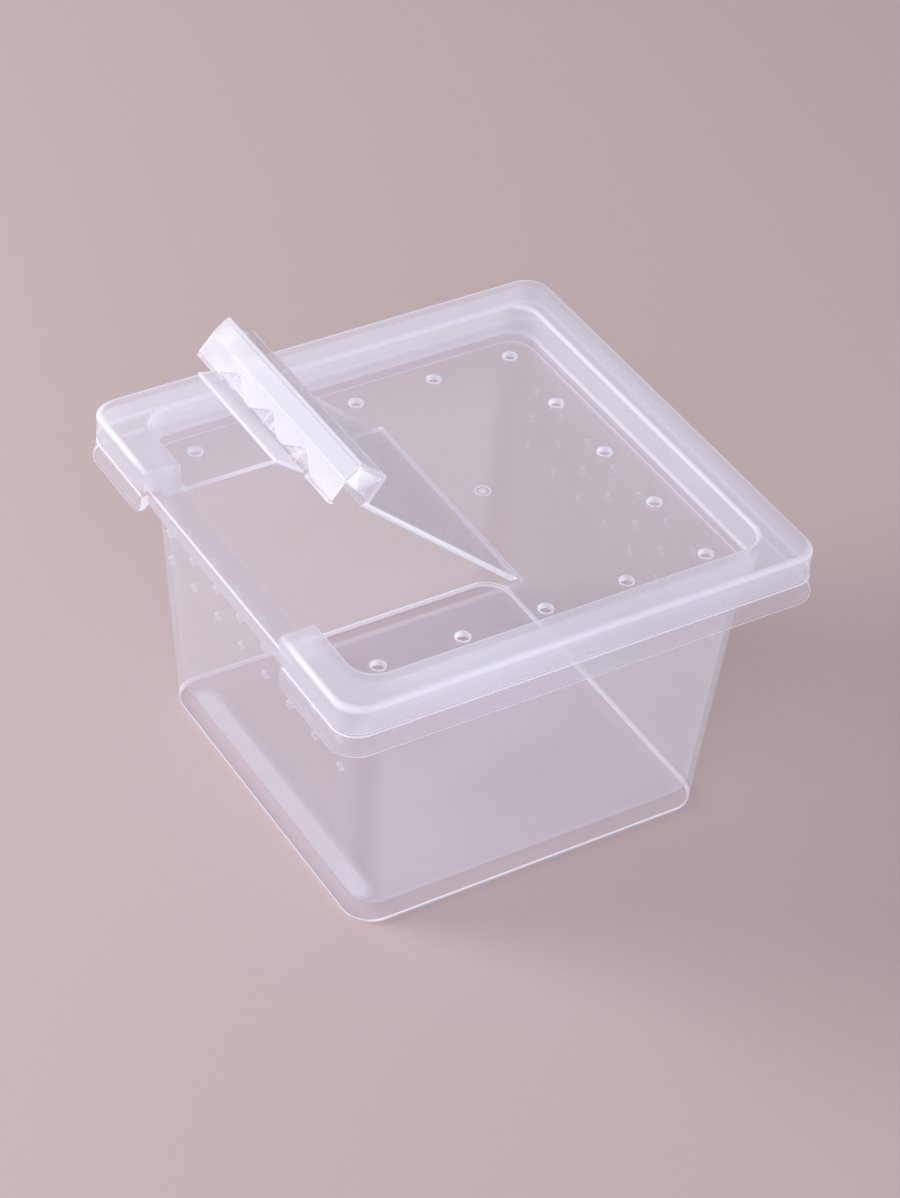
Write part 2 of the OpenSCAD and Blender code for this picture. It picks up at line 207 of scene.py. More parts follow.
# A closed outline carried from one end to the other: ends holds its points in both places
def prism(name, ends, edgeShare, sideShare, endShare):
    count = len(edgeShare)
    k = np.arange(count)
    faces = np.stack([k, (k + 1) % count, count + (k + 1) % count, count + k], 1).tolist()
    faces += [k[::-1].tolist(), (count + k).tolist()]
    cut = np.append(np.full(count, sideShare), [endShare, endShare])
    return fixOutward(meshPiece(name, np.vstack(ends), faces, np.tile(edgeShare, 2), cut))


# A bar along X: a closed outline of [in front of the hinge, height, round] rows, rounded and
# carried from x = low to x = high
def barAlongX(name, rows, low, high, steps=3, endShare=0.0):
    line = closedLine(rows, steps)
    ends = [np.stack([np.full(len(line), x), -line[:, 0], line[:, 1]], 1) for x in (low, high)]
    return prism(name, ends, line[:, 3], 0.0, endShare)


# A plate: a closed outline in the plane of X and Y or X and Z, carried from one level to another
def plate(name, outline, low, high, plane="XY", sideShare=0.0, endShare=0.0):
    first, second = np.asarray(outline, float).T
    ends = []
    for level in (low, high):
        flat = np.full(len(first), level)
        ends.append(np.stack([first, second, flat] if plane == "XY" else [first, flat, second], 1))
    return prism(name, ends, np.zeros(len(first)), sideShare, endShare)


# A turned piece: a closed outline of [radius, height, round] rows turned about a vertical line
def turned(name, rows, centre, share=0.0, around=36, steps=4):
    line = closedLine(rows, steps)
    angle = np.arange(around) * 2 * math.pi / around
    radius, height = line[:, :1], np.repeat(line[:, 1:2], around, 1)
    x, y = radius * np.cos(angle), radius * np.sin(angle)
    points = np.stack([x, y, height], 2).reshape(-1, 3) + centre
    rings = len(line)
    i, k = np.arange(rings)[:, None], np.arange(around)[None, :]
    j, m = (i + 1) % rings, (k + 1) % around
    quads = np.stack([i * around + k, i * around + m, j * around + m, j * around + k], 2)
    edge = np.repeat(line[:, 3], around)
    return fixOutward(meshPiece(name, points, quads.reshape(-1, 4).tolist(), edge, share))


# A plain round rod, for cutting a hole: its sides start half a step round, so that none of its
# corners meets a corner of what it cuts
def rod(name, radius, centre, length, axis="Z", around=36, share=0.0):
    angle = (np.arange(around) + 0.5) * 2 * math.pi / around
    ring = np.stack([radius * np.cos(angle), radius * np.sin(angle)], 1)
    x, y, z = centre
    middle, place, plane = (z, (x, y), "XY") if axis == "Z" else (y, (x, z), "XZ")
    return plate(name, ring + place, middle - length / 2, middle + length / 2, plane, share)


# Turns a closed mesh right side out: its signed volume has to be positive
def fixOutward(piece):
    mesh = piece.data
    mesh.calc_loop_triangles()
    points = np.zeros(len(mesh.vertices) * 3)
    mesh.vertices.foreach_get("co", points)
    points = points.reshape(-1, 3)
    corners = np.zeros(len(mesh.loop_triangles) * 3, int)
    mesh.loop_triangles.foreach_get("vertices", corners)
    a, b, c = points[corners.reshape(-1, 3)].transpose(1, 0, 2)
    if np.einsum("ij,ij->i", a, np.cross(b, c)).sum() < 0:
        mesh.flip_normals()
    return piece


# Adds or cuts the tools, then keeps the finished mesh
def combine(piece, tools, operation):
    group = bpy.data.collections.new("tools")
    scene.collection.children.link(group)
    for tool in tools:
        group.objects.link(tool)
    change = piece.modifiers.new("combine", "BOOLEAN")
    change.operation = operation
    change.operand_type = "COLLECTION"
    change.collection = group
    change.solver = "EXACT"
    ready = piece.evaluated_get(bpy.context.evaluated_depsgraph_get())
    mesh = bpy.data.meshes.new_from_object(ready)
    piece.modifiers.clear()
    old = piece.data
    piece.data = mesh
    mesh.name = piece.name
    bpy.data.meshes.remove(old)
    for tool in tools:
        bpy.data.objects.remove(tool)
    bpy.data.collections.remove(group)
    return piece


# Smooth shading with hard lines where two faces meet at more than the limit
def finishSurface(piece, limit):
    mesh = piece.data
    mesh.shade_smooth()
    mesh.set_sharp_from_angle(angle=math.radians(limit))
    even = piece.modifiers.new("evenShade", "WEIGHTED_NORMAL")
    even.keep_sharp = True
    even.weight = surfaceSet["normalWeight"]
    return piece


# Tub

tubSet = {
    "footHalf": 42.7,
    "footBand": 4.0,
    "footRise": 0.8,
    "footCorner": 6.5,
    "sunkCorner": (2.7, 3.5),  # of the foot's sunk middle, at its flat and at the band
    "footLine": (0.8, 1.2),  # the painted highlight line over the foot's edge fades between these heights
    "floorTop": 2.0,
    "floorRound": 4.5,
    "floorCorner": 3.0,
    "floorRings": (36, 35, 34, 33, 32),  # half widths of the rings that carry the floor's painted highlight band
    "wall": 1.2,
    "mouthHalf": 46.9,  # outside the wall, just under the ledge
    "mouthCorner": 7.0,
    "ledge": (64.8, 66.0),  # underside and top
    "lidHalf": 55.6,
    "lidCorner": 5.5,
    "beadHalf": (51.9, 54.1),
    "beadTop": 68.5,
    "shoulder": 67.3,
    "skirt": 1.1,
    "skirtFlare": 0.8,
    "skirtBottom": 62.5,
    "edges": {  # round and painted highlight brightness of each edge, from the foot up and round to the mouth
        "sunk": (0.3, 0.1),
        "foot": (0.5, 5.0),
        "underLedge": (0.8, 0.1),
        "skirtRoot": (0.5, 0.05),
        "skirtIn": (0.35, 0.2),
        "skirtOut": (0.35, 3.0),
        "shoulder": (0.4, 1.3),
        "beadFoot": (0.3, 0.1),
        "beadOut": (0.6, 0.9),
        "beadIn": (0.5, 0.1),
        "ledge": (0.4, 0.0),
        "mouth": (0.5, 0.6),
    },
    # strength of the painted highlight on the floor's round edge
    "floorRoundHighlight": 0.3,
    "recessHalf": 30.0,
    "recessRound": 2.5,
    "recessSteps": 8,
    "recessBelow": 0.6,  # how far its top lies under the bead's
    "recessShare": (1.0, 0.5),  # on its sides and its flat ends
    "past": 1.0,  # how far a cutter stands past what it cuts
    "ventRadius": 1.0,
    "ventPitch": 10.5,
    "ventRows": (57.0, 49.5, 42.0),
    "ventCount": 8,  # in a row
    "ventRod": 120.0,  # one rod cuts both walls
    "ventSides": 24,
    "ventShare": 0.6,
    "sideSteps": 20,
    "hardEdge": 32,
    # a painted highlight band on the floor and line on the foot, and painted shade under the lid
    "paintedLight": {
        "out": 38.0,
        "width": 2.7,
        "half": 39.0,
        "fade": 7.0,
        "share": 2.0,
        "climb": 1.1,  # the fillet's height over the band's
        "lineShare": 1.5,  # painted highlight on the foot's line
        "hiddenShare": 0.15,  # what edges under the lid keep of their painted edge light, a painted shade
        "hiddenOver": 0.3,  # above the shoulder
        "hiddenBeside": 3.0,  # past the recess
        "near": 0.05,
    },
}


# Painted highlight: a soft bright band is painted on the floor beside the front wall. Its edge
# share is the bell curve of the distance from the band's middle line, times a smooth fall towards
# both ends, times a straight fall to nothing below the top of the fillet, so that none of it
# spreads up the wall. The lower ring of the foot's line gets a painted highlight line, and, as
# painted shade, the edges that the lid hides keep only a little of their painted edge light.
def paintHighlightsAndShade(tub, s):
    own = s["paintedLight"]
    layer = tub.data.attributes["edgeShare"].data
    count = len(layer)
    share, place = np.zeros(count, np.float32), np.zeros(count * 3, np.float32)
    layer.foreach_get("value", share)
    tub.data.vertices.foreach_get("co", place)
    x, y, z = place.reshape(-1, 3).T / toMetres
    within = (z > s["floorTop"] - own["near"]) & (z < s["floorTop"] + s["floorRound"]) & (y < 0)
    across = np.exp(-((y + own["out"]) / own["width"]) ** 2)
    left = np.clip((own["half"] - np.abs(x)) / own["fade"], 0, 1)
    upward = np.clip(1 - own["climb"] * (z - s["floorTop"]) / s["floorRound"], 0, 1)
    bell = own["share"] * across * left * left * (3 - 2 * left) * upward
    share = np.where(within, np.maximum(share, bell), share)
    outside = np.maximum(np.abs(x), np.abs(y)) > s["footHalf"] - s["footBand"] + s["past"]
    onLine = outside & (np.abs(z - s["footLine"][0]) < own["near"])
    share = np.where(onLine, own["lineShare"], share)
    covered = (np.abs(x) > s["recessHalf"] + own["hiddenBeside"]) | (y > 0)
    hidden = covered & (z > s["shoulder"] + own["hiddenOver"])
    share = np.where(hidden, share * own["hiddenShare"], share)
    layer.foreach_set("value", share.astype(np.float32))


def makeTub(s):
    # the corner radius that keeps a ring at the same distance from the lid's outline all round
    def cornerAt(half):
        return s["lidCorner"] - s["lidHalf"] + half

    low, high = s["ledge"]
    lean = (s["mouthHalf"] - s["footHalf"]) / low
    innerHalf = s["mouthHalf"] + lean * (high - low) - s["wall"]
    floorHalf = s["footHalf"] + lean * s["floorTop"] - s["wall"]
    skirtIn = s["lidHalf"] - s["skirt"]
    flareIn, flareOut = skirtIn + s["skirtFlare"], s["lidHalf"] + s["skirtFlare"]
    sunk = s["footHalf"] - s["footBand"]
    sunkCorners, (beadIn, beadOut) = s["sunkCorner"], s["beadHalf"]
    bottom, edge = s["skirtBottom"], s["edges"]
    tub = squareShell("tubShell", [
        [sunk - s["footRise"], s["footRise"], sunkCorners[0], *edge["sunk"]],
        [sunk, 0, sunkCorners[1], *edge["sunk"]],
        [s["footHalf"], 0, s["footCorner"], *edge["foot"]],
        *[[s["footHalf"] + lean * z, z, s["footCorner"], 0] for z in s["footLine"]],
        [s["mouthHalf"], low, s["mouthCorner"], *edge["underLedge"]],
        [skirtIn, low, cornerAt(skirtIn), *edge["skirtRoot"]],
        [flareIn, bottom, cornerAt(flareIn), *edge["skirtIn"]],
        [flareOut, bottom, cornerAt(flareOut), *edge["skirtOut"]],
        [s["lidHalf"], s["shoulder"], s["lidCorner"], *edge["shoulder"]],
        [beadOut, s["shoulder"], cornerAt(beadOut), *edge["beadFoot"]],
        [beadOut, s["beadTop"], cornerAt(beadOut), *edge["beadOut"]],
        [beadIn, s["beadTop"], cornerAt(beadIn), *edge["beadIn"]],
        [beadIn, high, cornerAt(beadIn), *edge["ledge"]],
        [innerHalf, high, s["mouthCorner"] - s["wall"], *edge["mouth"]],
        [floorHalf, s["floorTop"], s["footCorner"] - s["wall"], s["floorRound"], s["floorRoundHighlight"]],
        *[[out, s["floorTop"], s["floorCorner"], 0] for out in s["floorRings"]],
    ], s["sideSteps"])
    paintHighlightsAndShade(tub, s)

    # the finger recess is cut through the skirt, outside the bead and below the ledge, and the
    # corners that it leaves on the hem are rounded
    past, r, half = s["past"], s["recessRound"], s["recessHalf"]
    turn = np.linspace(0, math.pi / 2, s["recessSteps"] + 1)
    corner = np.stack([half + r - r * np.sin(turn), bottom + r - r * np.cos(turn)], 1)
    corner = np.vstack([[[half + r, bottom - past]], corner])
    sideShare, endShare = s["recessShare"]
    cutters = []
    for start, top in ((beadOut, s["beadTop"] - s["recessBelow"]), (skirtIn - past, low)):
        right = np.vstack([corner, [[half, top]]])
        outline = np.vstack([right, right[::-1] * (-1, 1)])
        cutters.append(plate("recess", outline, -flareOut - past, -start, "XZ",
                             sideShare, endShare))
    for row in s["ventRows"]:
        for k in range(s["ventCount"]):
            place = ((k - (s["ventCount"] - 1) / 2) * s["ventPitch"], 0, row)
            cutters.append(rod("vent", s["ventRadius"], place, s["ventRod"], "Y", s["ventSides"],
                               s["ventShare"]))
    return finishSurface(combine(tub, cutters, "DIFFERENCE"), s["hardEdge"])


tub = makeTub(tubSet)
print("tub ready", len(tub.data.polygons), "faces")

# Lid

lidSet = {
    "half": 55.6,
    "corner": 5.5,
    "wall": 1.2,
    "panel": (66.3, 67.5),
    "rimTop": 74.2,
    "sinkHalf": (46.7, 47.3),  # at the panel and at the top of the rim
    "sinkCorner": 6.0,
    "foot": 67.6,
    "edges": {  # round and painted highlight brightness of each edge, from under the panel round the rim and back
        "panelUnder": (0.5, 0.2),
        "channel": (0.8, 0.1),
        "footIn": (0.3, 0.5),
        "footOut": (0.5, 2.2),
        "rimOut": (1.3, 0.8),
        "rimIn": (1.0, 0.55),
        "panel": (1.5, 0.4),
    },
    "rimFrom": 0.3,  # above the panel
    "rimShare": 0.57,
    "sideSteps": 6,
    "hardEdge": 32,
    "openingHalf": 29.0,
    "hingeWeb": 0.8,
    "far": 90.0,  # past all of the lid
    "past": 1.0,  # how far a cutter stands past what it cuts
    "overBead": 68.8,  # the plates that close the rim's ends stand over the tub's bead
    "behindBead": 51.6,
    "endRound": 0.3,
    "endFoot": (0.8, 0.2),  # height over the panel, and round
    "endShare": 0.35,
    "skin": 0.05,  # how far an added piece stays under the surface that it joins
    "lap": 0.1,  # the same on the rim's inner side
    "seam": 0.01,
    "slope": (4.0, 1.6),  # width and height
    "ventRadius": 1.5,
    "ventPitch": 19.35,
    "ventSteps": 2,  # either way from the middle
    "ventRing": (0.25, 0.2),  # width and height
    # painted highlight: this share makes the vents' rings and the gate mark bright
    "ventShare": 1.5,
    "ventRod": 4.0,
    "ringLap": 0.3,  # how far a ring reaches inwards, for its hole to be cut
    "ringRound": 0.12,
    "bury": 0.2,  # how far it reaches down into the panel
    "gateBack": 8.5,
    "gateRadius": 1.8,
    "gateWall": 0.35,
    "gateRound": 0.15,
    "stub": (0.05, 0.45),  # inner radius, and outer radius as a share of the gate's
}


def makeLid(s):
    low, top = s["panel"]
    sinkLow, sinkHigh = s["sinkHalf"]
    sinkCorner = s["sinkCorner"] - (sinkHigh - sinkLow)
    wall, half, corner, edge = s["wall"], s["half"], s["corner"], s["edges"]
    channel, foot, rimTop = s["rimTop"] - wall, s["foot"], s["rimTop"]
    lid = squareShell("lidShell", [
        [sinkLow + wall, low, sinkCorner + wall, *edge["panelUnder"]],
        [sinkHigh + wall, channel, s["sinkCorner"] + wall, *edge["channel"]],
        [half - wall, channel, corner - wall, *edge["channel"]],
        [half - wall, foot, corner - wall, *edge["footIn"]],
        [half, foot, corner, *edge["footOut"]],
        [half, rimTop, corner, *edge["rimOut"]],
        [sinkHigh, rimTop, s["sinkCorner"], *edge["rimIn"]],
        [sinkLow, top, sinkCorner, *edge["panel"]],
    ], s["sideSteps"], top + s["rimFrom"], s["rimShare"])
    opening, web, far, past = s["openingHalf"], s["hingeWeb"], s["far"], s["past"]
    box = [[-opening, -far], [opening, -far], [opening, web], [-opening, web]]
    cutter = plate("opening", box, low - 2 * past, far, sideShare=1.0)
    lid = combine(lid, [cutter], "DIFFERENCE")
    added, cut = [], []

    # the rim's ends beside the hatch: each is closed by a plate, and the rim's foot slopes up to it
    skin, lap = s["skin"], s["lap"]
    endRows = [
        [sinkLow + lap, low, s["endRound"]],
        [s["behindBead"], low, s["endRound"]],
        [s["behindBead"], s["overBead"], s["endRound"]],
        [half - skin, s["overBead"], s["endRound"]],
        [half - skin, rimTop - skin, edge["rimOut"][0]],
        [sinkHigh + skin, rimTop - skin, edge["rimIn"][0]],
        [sinkLow + lap, top + s["endFoot"][0], s["endFoot"][1]],
    ]
    wide, tall = s["slope"]
    for side in (-1, 1):
        a, b = sorted((side * (opening - s["seam"]), side * (opening + wall)))
        added.append(barAlongX("rimEnd", endRows, a, b, endShare=s["endShare"]))
        outline = np.array([
            [opening - past, foot - past],
            [opening + wide, foot - past],
            [opening + wide, foot],
            [opening, foot + tall],
            [opening - past, foot + tall],
        ]) * (side, 1)
        cut.append(plate("slope", outline, -half - past, -half + wall + skin, "XZ", sideShare=1.0))

    # the vents' rings and the gate mark behind the hinge, whose section share paints them bright:
    # partly the haze of a wall seen in section, partly painted highlight
    ringWide, ringHigh = s["ventRing"]
    radius, pitch, last = s["ventRadius"], s["ventPitch"], s["ventSteps"]

    def raised(name, place, inner, outer, outerRound, innerRound=0):
        rows = [[inner, top - s["bury"]], [outer, top - s["bury"]],
                [outer, top + ringHigh, outerRound], [inner, top + ringHigh, innerRound]]
        added.append(turned(name, rows, (*place, 0), s["ventShare"]))

    for c in range(-last, last + 1):
        for r in range(-last, last + 1):
            if abs(c) == last or r == last:
                place = (c * pitch, r * pitch)
                raised("ventRing", place, radius - s["ringLap"], radius + ringWide, s["ringRound"])
                cut.append(rod("vent", radius, (*place, (low + top) / 2), s["ventRod"],
                               share=s["ventShare"]))
    gate, place = s["gateRadius"], (0, s["gateBack"])
    raised("gateRing", place, gate - s["gateWall"], gate, s["gateRound"], s["gateRound"])
    raised("gateStub", place, s["stub"][0], gate * s["stub"][1], s["gateRound"])
    lid = combine(lid, added, "UNION")
    return finishSurface(combine(lid, cut, "DIFFERENCE"), s["hardEdge"])


lid = makeLid(lidSet)
print("lid ready", len(lid.data.polygons), "faces")

# Hatch: built closed, with the hinge line along X, then turned open. Heights are over that line,
# and a low or a reach is below or in front of it.

hatchSet = {
    "hingeHeight": 67.5,
    "openAngle": 41.0,
    "halfHinge": 28.0,
    "halfFront": 27.0,
    "panel": 1.2,
    "wall": 1.2,
    "rimHeight": 6.7,
    "sink": 47.0,  # from the hinge line to the rim
    "sinkLean": 0.6,
    "skirt": (55.7, 56.5),  # inner and outer face
    "skirtBend": 2.23,  # the skirt is upright up to here
    "skirtLean": 0.7,  # and leans back by this at the rim's top
    "skirtLow": 2.6,
    # painted highlight standing in for the lamp's glare on the skirt's face
    "skirtGlareShare": 0.85,
    "skirtFacing": 0.95,  # how squarely a face looks forwards to count as the skirt's
    "rimShare": 0.6,
    "rounds": {  # of the bends in the rim's outline
        "under": 0.3,
        "channel": 0.6,
        "bendIn": 1.0,
        "bendOut": 2.0,
        "hem": 0.2,
        "rimOut": 1.2,
        "rimIn": 1.0,
        "panel": 0.5,
    },
    "arcSteps": 10,
    "hardEdge": 11,
    "plateStart": 1.0,
    "hingeEdge": {"nose": (0.2, 0.4), "back": 1.05, "lap": 0.02},
    "pleat": {  # two facets beside a ridge, with their depth at the outer ends of the hem
        "pitch": 13.5,
        "width": 11.8,
        "height": 3.4,
        "depth": 0.7,
        "over": 1.1,  # the cut goes on past the skirt's edge
        "past": 1.0,
        "litShare": 0.25,  # painted highlight on the facets that catch light
        "ridge": 0.18,  # radius of the upright ridge between two facets
        "ridgeSunk": 0.02,
        "ridgeSides": 16,
    },
    "end": {  # the plates that close the rim's ends
        "lap": 0.1,
        "skin": 0.05,
        "step": (51.6, 1.2),  # their lower edge clears the tub's bead
        "front": 1.5,
        "round": 0.2,
        "bendRound": 0.5,
        "share": 0.35,
    },
    "clip": {  # the deeper stretches of skirt
        "lap": 0.3,
        "low": 3.4,
        "width": 9.2,
        "catch": (54.4, 3.1),  # its tip
        "catchHalf": 0.25,
        "catchRound": 0.1,
        "round": 0.15,
        "seam": 0.01,
        "share": 0.6,
    },
    "lip": {
        "half": 18.0,
        "shift": -1.5,
        "reach": 4.0,
        "thick": 0.8,
        "droop": 27.0,
        "chamfer": 4.0,
        "lap": 0.4,  # how far it reaches into the skirt
        "rise": 0.02,
    },
}


# Hatch rim: the hollow rim's outline carried along X. Its skirt is pleated: each facet is the plane
# through the apex, the foot of the upright ridge and a point behind the skirt's face, and what lies
# outside that plane is cut away as far as the slanting line from the apex to the foot.
def hatchRim(s):
    t, h, lean = s["wall"], s["rimHeight"], s["sinkLean"]
    sink, (inner, outer), bend = s["sink"], s["skirt"], s["skirtBend"]
    own, hem = s["rounds"], -s["skirtLow"]
    top = outer - s["skirtLean"]
    thick = outer - inner
    rim = barAlongX("hatchRim", [
        [sink, -s["panel"], own["under"]],
        [sink + t, -s["panel"], own["under"]],
        [sink + lean + t, h - t, own["channel"]],
        [top - thick, h - t, own["channel"]],
        [inner, bend, own["bendIn"]],
        [inner, hem, own["hem"]],
        [outer, hem, own["hem"]],
        [outer, bend, own["bendOut"]],
        [top, h, own["rimOut"]],
        [sink + lean, h, own["rimIn"]],
        [sink, 0, own["panel"]],
    ], -s["halfFront"], s["halfFront"], s["arcSteps"], s["rimShare"])

    # painted highlight: the skirt's forward face is painted whiter, standing in for the lamp's
    # glare, and its pleats are seen against it
    layer = rim.data.attributes["cutShare"].data
    count = len(layer)
    share = np.zeros(count, np.float32)
    middle, normal = np.zeros(count * 3, np.float32), np.zeros(count * 3, np.float32)
    layer.foreach_get("value", share)
    rim.data.polygons.foreach_get("center", middle)
    rim.data.polygons.foreach_get("normal", normal)
    skirtFace = (normal[1::3] < -s["skirtFacing"]) & (middle[1::3] < -top * toMetres)
    layer.foreach_set("value", np.where(skirtFace, s["skirtGlareShare"], share).astype(np.float32))

    pleat = s["pleat"]
    apex = pleat["height"] + hem
    low = apex - pleat["height"] * pleat["over"]
    far = -outer - pleat["past"]
    back = outer - pleat["depth"] * pleat["over"]
    faces = [[0, 1, 2], [5, 4, 3], [0, 3, 4, 1], [1, 4, 5, 2], [2, 5, 3, 0]]
    cuts = []
    for place in (-pleat["pitch"], 0, pleat["pitch"]):
        for side in (-1, 1):
            foot = place + side * pleat["width"] / 2 * pleat["over"]
            corners = [[place, -outer, apex], [place, -outer, low], [foot, -back, low],
                       [place, far, apex], [place, far, low], [foot, far, low]]
            # the facets that catch light get a painted highlight on their cut faces
            facet = [0, 0, 0, 0, pleat["litShare"] if side > 0 else 0]
            cuts.append(fixOutward(meshPiece("pleat", corners, faces, np.zeros(6), facet)))
    return combine(rim, cuts, "DIFFERENCE")


# The finger lip: a plate with one corner cut off, turned down about its root on the skirt's hem
def fingerLip(s):
    own = s["lip"]
    half, reach = own["half"], -own["reach"]
    outline = [[-half, own["lap"]], [-half, reach], [half - own["chamfer"], reach],
               [half, reach + own["chamfer"] - own["lap"]], [half, own["lap"]]]
    lip = plate("fingerLip", outline, -own["thick"], 0, sideShare=1.0)
    root = Vector((own["shift"], -s["skirt"][1], own["rise"] - s["skirtLow"]))
    lip.data.transform(Matrix.Rotation(math.radians(own["droop"]), 4, "X"))
    lip.data.transform(Matrix.Translation(root * toMetres))
    return lip


def makeHatch(s):
    t, h, lean, sink = s["wall"], s["rimHeight"], s["sinkLean"], s["sink"]
    (inner, outer), hem, steps = s["skirt"], -s["skirtLow"], s["arcSteps"]
    front, side, start = s["halfFront"], s["halfHinge"], -s["plateStart"]
    hatch = hatchRim(s)
    added = []

    # the plate, and the slanted edge that meets the hinge web
    back = -sink - t / 2
    outline = [[-side, start], [-front, back], [front, back], [side, start]]
    added.append(plate("hatchPlate", outline, -s["panel"], 0, sideShare=1.0))
    own = s["hingeEdge"]
    nose, depth = own["nose"]
    rows = [[nose, 0], [nose, -depth], [own["back"], own["lap"] - s["panel"]], [own["back"], 0]]
    added.append(barAlongX("hatchEdge", rows, -side, side))

    # at both ends, a plate that closes the rim and a stretch of deeper skirt with the catch
    end, clip, rounds = s["end"], s["clip"], s["rounds"]
    endRows = [
        [sink + end["lap"], end["skin"], end["round"]],
        [*end["step"], end["round"]],
        [inner + end["lap"], end["front"], end["round"]],
        [outer - end["lap"], s["skirtBend"], end["bendRound"]],
        [outer - s["skirtLean"] - end["skin"], h - end["skin"], rounds["rimOut"]],
        [sink + lean + end["skin"], h - end["skin"], rounds["rimIn"]],
    ]
    catchOut, catchLow = clip["catch"]
    clipRows = [
        [outer, hem + clip["lap"]],
        [inner, hem + clip["lap"]],
        [inner, clip["catchHalf"] - catchLow],
        [catchOut, -catchLow, clip["catchRound"]],
        [inner, -clip["catchHalf"] - catchLow],
        [inner, -clip["low"], clip["round"]],
        [outer, -clip["low"], clip["round"]],
    ]
    for k in (-1, 1):
        a, b = sorted((k * front, k * (front - t)))
        added.append(barAlongX("hatchEnd", endRows, a, b, steps, end["share"]))
        a, b = sorted((k * (front - clip["seam"]), k * (front - clip["width"])))
        added.append(barAlongX("hatchClip", clipRows, a, b, steps, clip["share"]))
    added.append(fingerLip(s))
    # a thin rod along each pleat's ridge; its full section share paints a bright highlight line on
    # it
    pleat = s["pleat"]
    for k in (-1, 0, 1):
        place = (k * pleat["pitch"], pleat["ridgeSunk"] - outer, pleat["height"] / 2 + hem)
        added.append(rod("pleatRidge", pleat["ridge"], place, pleat["height"],
                         around=pleat["ridgeSides"], share=1.0))
    hatch = combine(hatch, added, "UNION")
    hatch.data.transform(Matrix.Rotation(math.radians(-s["openAngle"]), 4, "X"))
    hatch.data.transform(Matrix.Translation((0, 0, s["hingeHeight"] * toMetres)))
    hatch.name = "hatchShell"
    return finishSurface(hatch, s["hardEdge"])


hatch = makeHatch(hatchSet)
print("hatch ready", len(hatch.data.polygons), "faces")

# Plastic

plasticSet = {
    "milk": (0.905, 0.912, 0.995),
    "lets": (0.995, 0.993, 0.996),  # what one face lets through
    "veil": 0.12,  # share of white haze on one face, seen straight on
    "veilSpread": 0.35,  # how far the haze varies with the flow of the plastic
    "edgeVeil": 0.75,  # more of it on rounded edges: partly the haze of a longer path, partly painted highlight
    "cutVeil": 0.55,  # and where a wall is seen in section
    "hiddenWithin": 0.85,  # less of that where it is seen from inside the wall
    "grazeVeil": 0.20,  # more where the face turns away
    "mostVeil": 0.95,
    "glow": 0.70,  # share of the haze that is lit from behind
    "paintedEdgeGlow": 0.6,  # painted glow: emission on edges, standing in for light that the wall leads to them
    "sectionGlowShare": 0.12,  # how much of that painted glow a section shows
    "milkRoughness": 0.5,
    "shine": 0.045,
    "roughness": 0.20,
    "flow": {"size": 45.0, "detail": 3.0, "roughness": 0.55},  # soft patches, sizes per metre
    "flowStretch": (1.0, 0.45, 1.0),
    "wave": {"size": 140.0, "detail": 1.0},
    "waveHeight": 0.000003,  # metres
    "scuff": {"size": 900.0, "detail": 2.0},
    "scuffSpread": 0.03,  # of roughness
}
tubPlasticSet = {**plasticSet, "veil": 0.16}  # its walls are milkier


# A socket with the usual operators, each of which adds a Math node. Its node method adds any other
# node: settings first, then the values or links of its sockets, by name or as i0, i1 by number.
class Wire:
    def __init__(self, tree, socket, owner=None):
        self.tree = tree
        self.socket = socket
        self.owner = owner

    def node(self, kind, settings=None, **values):
        made = self.tree.nodes.new(kind)
        for key, value in (settings or {}).items():
            setattr(made, key, value)
        for key, value in values.items():
            place = int(key[1:]) if key[0] == "i" and key[1:].isdigit() else key.replace("_", " ")
            if isinstance(value, Wire):
                self.tree.links.new(value.socket, made.inputs[place])
            else:
                made.inputs[place].default_value = value
        return Wire(self.tree, None, made)

    def wire(self, name):
        return Wire(self.tree, self.owner.outputs[name], self.owner)

    def math(self, operation, other=0.0):
        return self.node("ShaderNodeMath", {"operation": operation}, i0=self, i1=other).wire(0)

    def __add__(self, other):
        return self.math("ADD", other)

    def __sub__(self, other):
        return self.math("SUBTRACT", other)

    def __mul__(self, other):
        return self.math("MULTIPLY", other)

    def __rsub__(self, other):
        return self.node("ShaderNodeMath", {"operation": "SUBTRACT"}, i0=other, i1=self).wire(0)

    __radd__ = __add__
    __rmul__ = __mul__
